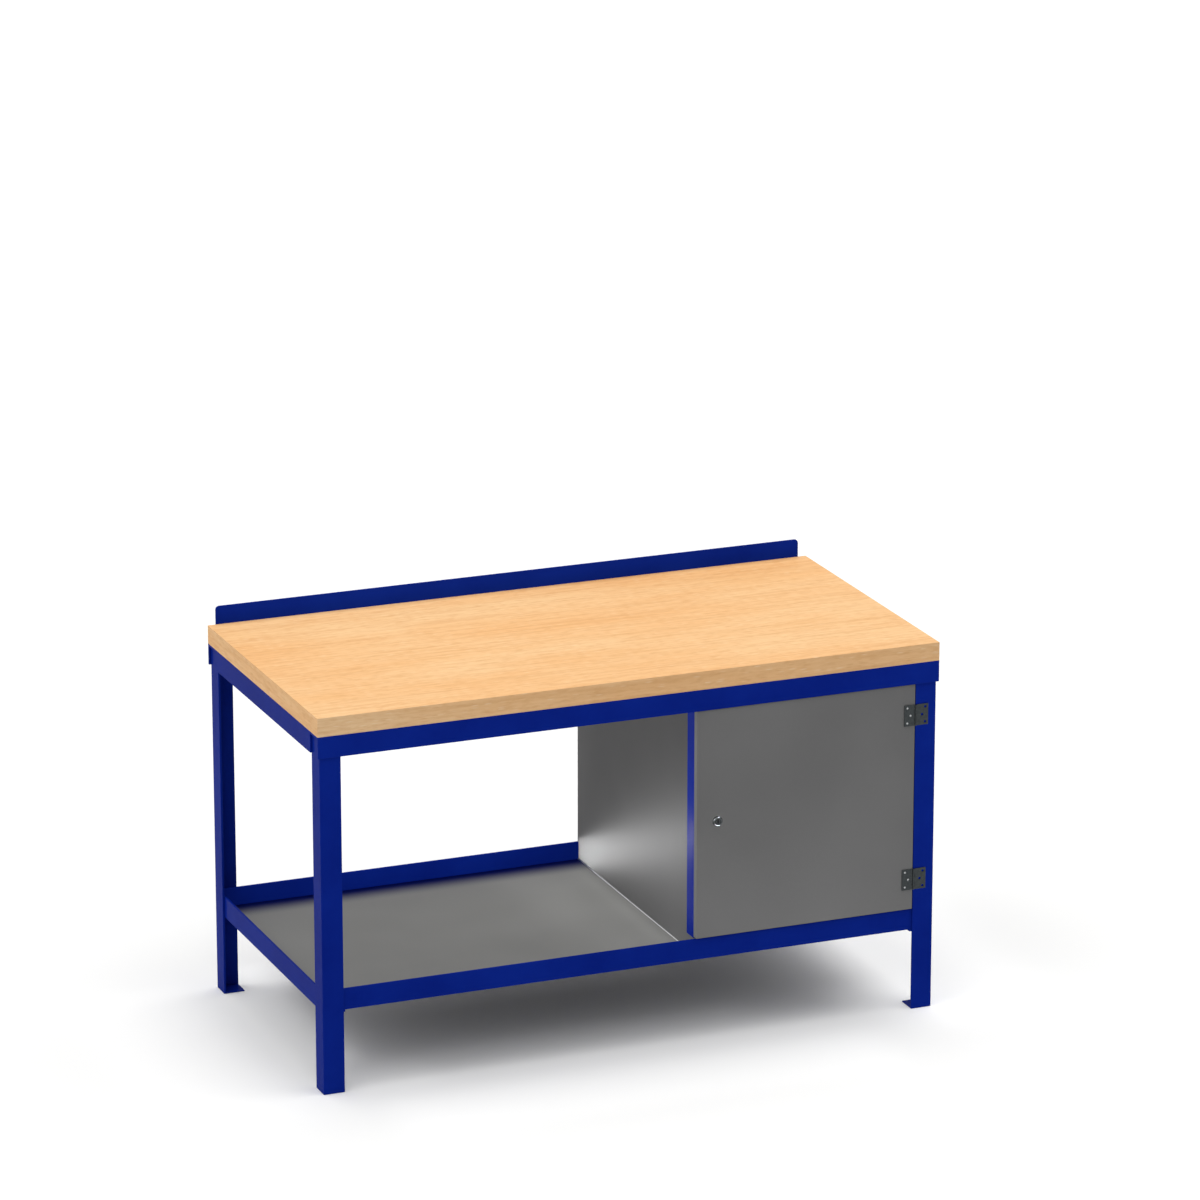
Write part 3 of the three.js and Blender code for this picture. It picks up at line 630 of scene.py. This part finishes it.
# %% [markdown]
# Each door leaf is held by three blind rivets. Such a rivet has a low dome with a small hole in the
# middle, where its pulling pin broke off, and on the blind side a swollen end. All that is round about one
# axis, so half an outline, in millimetres, is turned about that axis.
# The round stretches of an outline come from a formula: a quarter curve from its crown to its rim. With a
# power of 1 it is part of an ellipse, and a higher power makes it flatter.

# %% Rivets
GRIP = 3.5
DOME = 1.3 * MM
RIVET_STEPS = 40


def in_metres(outline):
    return [(radius * MM, along * MM) for radius, along in outline]


def soft_quarter(crown, rim, steps, power):
    points = []
    for step in range(steps + 1):
        turn = radians(90) * step / steps
        out = crown[0] + (rim[0] - crown[0]) * sin(turn) ** power
        up = rim[1] + (crown[1] - rim[1]) * cos(turn) ** power
        points.append((out, up))
    return points


dome_outline = soft_quarter(crown=(1.1, -1.28), rim=(2.65, 0), steps=5, power=1.41)
blind_outline = soft_quarter(crown=(0.8, GRIP + 1.58), rim=(2.95, GRIP + 0.5), steps=3, power=1.0)
rivet_outline = [(0, -0.45), (0.8, -0.5), (0.9, -1.15), *dome_outline, (2, 0), (2, GRIP)]
rivet_outline += [(2.7, GRIP + 0.1), *reversed(blind_outline), (0, GRIP + 1.2)]
for name, spot in rivet_spots.items():
    shape = bmesh.new()
    head = Vector((spot.x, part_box(name)[0].y + DOME, spot.z))
    add_turned(shape, in_metres(rivet_outline), head, RIVET_STEPS)
    rivet = make_piece(name + "_dome", shape, metals["rivet_bright"], "door", name)
print("Rivets:", len(rivet_spots), "of", len(rivet.data.polygons), "faces each")

# %% [markdown]
# The lock is a cam lock: a chrome head on the front of the door and a threaded barrel behind it, held by
# a nut inside. The head is a low dome with a round bore for the plug, and the barrel gets real thread
# ridges, since it can be seen when the door is open.

# %% Lock head and barrel
BORE = 7.6
HEAD = 4.5
HEAD_RADIUS = 12
RIM = -0.7
CORE = 9.05
CREST = 9.5
BARREL_END = 22.5
THREAD_START = 0.9
THREAD_PITCH = 1.5
THREADS = 14
THREAD_RIDGE = ((CORE, 0), (CREST, 0.55), (CREST, 0.75), (CORE, 1.3))
LOCK_STEPS = 72
head_outline = soft_quarter(crown=(BORE + 0.6, -HEAD), rim=(HEAD_RADIUS, RIM), steps=8, power=1.18)
outline = [(BORE, -HEAD + 0.6), (BORE + 0.2, -HEAD + 0.15), *head_outline]
outline += [(HEAD_RADIUS, -0.2), (HEAD_RADIUS - 0.15, 0), (CORE + 0.05, 0)]
for turn in range(THREADS):
    start = THREAD_START + turn * THREAD_PITCH
    outline += [(radius, start + along) for radius, along in THREAD_RIDGE]
outline += [(CORE, BARREL_END - 0.2), (8.85, BARREL_END), (BORE, BARREL_END), (BORE, -HEAD + 0.5)]
shape = bmesh.new()
seat = Vector((lock_spot.x, lock_low.y + HEAD * MM, lock_spot.z))
add_turned(shape, in_metres(outline), seat, LOCK_STEPS)
bmesh.ops.remove_doubles(shape, verts=shape.verts, dist=WELD_GAP)
chrome = metals["lock_chrome"]
barrel = make_piece("lock_head_and_barrel", shape, chrome, "door", "lock_barrel")
print("Lock barrel:", len(barrel.data.polygons), "faces")

# %% [markdown]
# Where the left side sheet of the cupboard stands on the shelf, its foot shows as a thin bright line. It is
# the edge of the folded foot, rubbed to bare metal. It is a strip with a rounded top, drawn as an outline
# in millimetres and pulled along the wall.

# %% Bare foot edge of the side sheet
FOOT_ROOT = -1.2
FOOT_EDGE = [(FOOT_ROOT, 0), *soft_quarter(crown=(FOOT_ROOT, 1.55), rim=(-2.7, 0), steps=4, power=1.25)]
FOOT_TOE = 2.5 * MM
END_GAP = 1 * MM
wall_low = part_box("cupboard_side_left")[0]
wall_face = wall_low.x + FOOT_TOE
foot_front = wall_low.y + END_GAP
foot_rear = shelf_high.y - END_GAP
shape = bmesh.new()
ends = []
for y in (foot_front, foot_rear):
    spots = [(wall_face + x * MM, y, shelf_high.z + z * MM) for x, z in FOOT_EDGE]
    ends.append([shape.verts.new(spot) for spot in spots])
for here in range(len(FOOT_EDGE)):
    there = (here + 1) % len(FOOT_EDGE)
    shape.faces.new([ends[0][here], ends[0][there], ends[1][there], ends[1][here]])
for end in ends:
    shape.faces.new(end)
make_piece("side_sheet_foot_edge", shape, metals["edge_bright"], "frame")
print("Foot edge length in metres:", round(foot_rear - foot_front, 3))

# %% [markdown]
# A few small lamps shape the light in places that the dome leaves flat, as a photographer would do with
# cards and strips. Each lamp is linked to the pieces it is meant for and casts no shadow, so it changes
# nothing else. Some only show in the gloss of a piece, and the others only light its colour. A lamp's glow
# is how bright its face is, so its power is worked out from the glow and the area.

# %% A lamp for chosen pieces
def linked_lamp(name, size, glow, place, target, pieces, gloss_only=False):
    light = bpy.data.lights.new(name, "AREA")
    light.shape = "RECTANGLE"
    light.size, light.size_y = size
    light.energy = glow * pi * size[0] * size[1]
    light.use_shadow = False
    light.cycles.use_multiple_importance_sampling = False
    lamp = bpy.data.objects.new(name, light)
    lamp.location = place
    lamp.rotation_euler = (Vector(target) - Vector(place)).to_track_quat("-Z", "Y").to_euler()
    scene.collection.objects.link(lamp)
    lamp.visible_camera = False
    lamp.visible_diffuse = not gloss_only
    lamp.visible_glossy = gloss_only
    lit = bpy.data.collections.new("lit_by_" + name)
    for piece in pieces:
        lit.objects.link(piece)
    lamp.light_linking.receiver_collection = lit
    return lamp


print("Watts for a square metre at glow 1:", round(pi, 2))

# %% [markdown]
# A strip low at the rear shows as a bright fan in the gloss of the side sheet and as a band on the door
# post, and a softer card adds a sheen to the post. The other lamps lift what the dome leaves too dark: the
# post, the side sheet, the shelf and its corner at the wall, the rear rail, the foot of the upstand, and
# the door at its top and bottom.
# The strip for the side sheet is so bright that it would shine through onto the sheet's foot inside the
# cupboard. So this one lamp has a shadow, which only the side sheet itself casts.
# Each row of a table holds a name, a size, a glow, a place, a target and the pieces that the lamp lights.

# %% Lamps for the bay, the upstand and the door
STRIP = (0.505, 0.080)
STRIP_BACK = 0.366
STRIP_RISE = 8 * MM
STRIP_GAP = 5 * MM
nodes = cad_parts
side_sheet, post, shelf = (nodes[name] for name in ("cupboard_side_left", "door_post", "lower_shelf"))
rear_rail, worktop, upstand = (nodes[name] for name in ("shelf_rail_rear", "worktop", "rear_upstand"))
strip_spot = Vector((wall_face - STRIP_GAP - STRIP[0] / 2, STRIP_BACK, shelf_high.z + STRIP_RISE))
ahead = strip_spot - Vector((0, 1, 0))
GLOSS_LAMPS = (
    ("sheet_strip", STRIP, 36.0, strip_spot, ahead, [side_sheet]),
    ("post_strip", STRIP, 7.5, strip_spot, ahead, [post]),
    ("post_sheen", (0.30, 0.26), 1.8, (-0.126, 0.36, 0.145), (0.155, -0.33, 0.40), [post]),
)
FILL_LAMPS = (
    ("post_light", (0.30, 0.60), 2.8, (-0.30, -0.20, 0.52), (0.155, -0.20, 0.52), [post, door]),
    ("sheet_light", (0.30, 0.60), 0.40, (-0.30, 0.0, 0.52), (0.155, 0.0, 0.52), [side_sheet]),
    ("bay_light", (0.60, 0.20), 2.0, (-0.20, 0.03, 0.58), (-0.20, 0.03, 0.20), [shelf]),
    ("corner_light", (0.20, 0.64), 0.44, (0.050, -0.03, 0.30), (0.050, -0.03, 0.20), [shelf]),
    ("foot_light", (0.03, 0.66), 0.50, (0.132, -0.02, 0.235), (0.132, -0.02, 0.20), [shelf]),
    ("low_light", (0.20, 0.20), 1.7, (-0.10, -0.26, 0.22), (0.16, -0.20, 0.22), [side_sheet]),
    ("rail_light", (0.80, 0.20), 2.4, (-0.20, 0.0, 0.45), (-0.20, 0.36, 0.22), [rear_rail]),
    ("upstand_light", (1.46, 0.03), 0.38, (0, 0.352, 0.920), (0, 0.373, 0.885), [worktop, upstand]),
    ("door_top_light", (0.54, 0.02), 0.35, (0.425, -0.396, 0.80), (0.425, -0.372, 0.775), [door]),
    ("door_light", (0.50, 0.20), 2.2, (0.42, -0.90, 0.10), (0.42, -0.37, 0.26), [door]),
)
lamps = [linked_lamp(*lamp, gloss_only=True) for lamp in GLOSS_LAMPS]
lamps += [linked_lamp(*lamp) for lamp in FILL_LAMPS]
sheet_strip = lamps[0]
sheet_strip.data.use_shadow = True
sheet_strip.light_linking.blocker_collection = sheet_strip.light_linking.receiver_collection
print("Lamps for the pieces:", len(lamps))

# %% [markdown]
# The dome alone makes the shadow a little too dark at both ends of the bench and along its front. So low
# lamps over the floor, which light nothing but the paper, soften the shadow there. Each row of the table
# holds a width and a depth, a glow, a place on the floor and a height.

# %% Lamps for the floor
FLOOR_LAMPS = {
    "floor_right": (0.39, 0.90, 0.19, 0.855, -0.05, 0.10),
    "floor_right_end": (0.14, 0.64, 0.18, 0.71, -0.04, 0.06),
    "floor_left": (0.35, 0.90, 0.12, -0.955, -0.05, 0.10),
    "floor_left_end": (0.11, 0.68, 0.23, -0.65, 0.14, 0.045),
    "floor_left_front": (0.22, 0.16, 0.075, -0.58, -0.325, 0.05),
    "floor_right_front": (0.18, 0.16, 0.11, 0.64, -0.26, 0.05),
    "floor_front": (1.20, 0.24, 0.11, -0.05, -0.58, 0.06),
    "floor_under_front": (1.05, 0.10, 0.045, -0.19, -0.245, 0.05),
    "floor_under_rear": (0.75, 0.10, 0.035, -0.10, 0.12, 0.06),
}
for name, (width, depth, glow, x, y, height) in FLOOR_LAMPS.items():
    linked_lamp(name, (width, depth), glow, (x, y, height), (x, y, 0), [floor])
print("Lamps for the floor:", len(FLOOR_LAMPS))

# %% [markdown]
# Chrome is only as lively as what it mirrors, and a white tent gives it little. Five small bright cards
# around the lock put glints on its rim: one at the upper left, one at the upper right and three below.
# Each row holds a glow and the direction from the lock to the card.

# %% Glints on the lock
GLINT_SIZE = (0.34, 0.22)
GLINT_DISTANCE = 0.45
GLINTS = (
    (85.0, (-0.73, -0.43, 0.45)),
    (58.0, (0.59, -0.19, 0.79)),
    (42.0, (0.0, -0.38, -0.92)),
    (54.0, (0.36, -0.19, -0.91)),
    (46.0, (0.63, -0.07, -0.76)),
)
for number, (glow, toward) in enumerate(GLINTS, 1):
    spot = lock_spot + Vector(toward) * GLINT_DISTANCE
    linked_lamp(f"lock_glint_{number}", GLINT_SIZE, glow, spot, lock_spot, [barrel], gloss_only=True)
print("Glints on the lock:", len(GLINTS))

# %% [markdown]
# Last, the scene is brought up to date.

# %% The end
bpy.context.view_layer.update()
